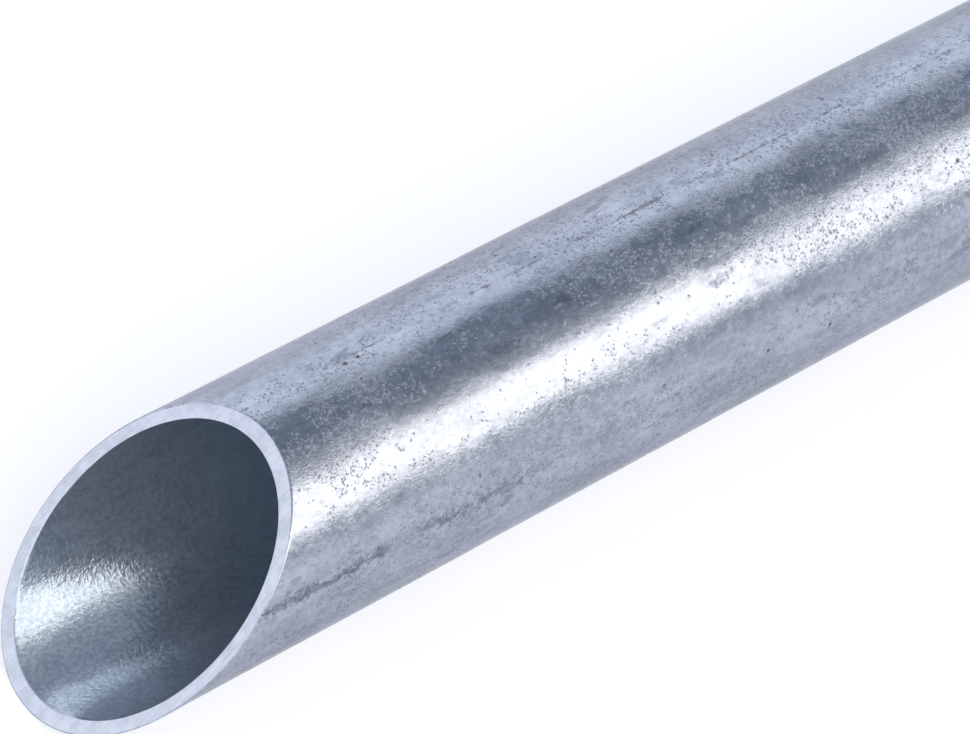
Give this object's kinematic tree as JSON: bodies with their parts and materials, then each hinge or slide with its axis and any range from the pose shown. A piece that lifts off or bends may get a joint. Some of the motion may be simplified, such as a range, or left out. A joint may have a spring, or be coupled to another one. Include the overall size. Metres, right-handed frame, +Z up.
{
  "type": "mitred galvanised steel tube",
  "caption": "Round thin-walled steel tube with a zinc coat, sawn to a mitre at one end and square at the other, for frames, rails and posts.",
  "frame": {"origin": "bottom of the tube, half-way along its length", "axes": "+X along the tube towards the square end, so the mitred end is at -X with its long point at the bottom, +Z up, +Y to the side"},
  "size_m": [1, 0.0602, 0.0603],
  "materials": {
    "galvanised_steel": "dull hot-dip zinc with fine pits and runs"
  },
  "bodies": {
    "root": {"tube": "galvanised_steel"}
  },
  "joints": []
}
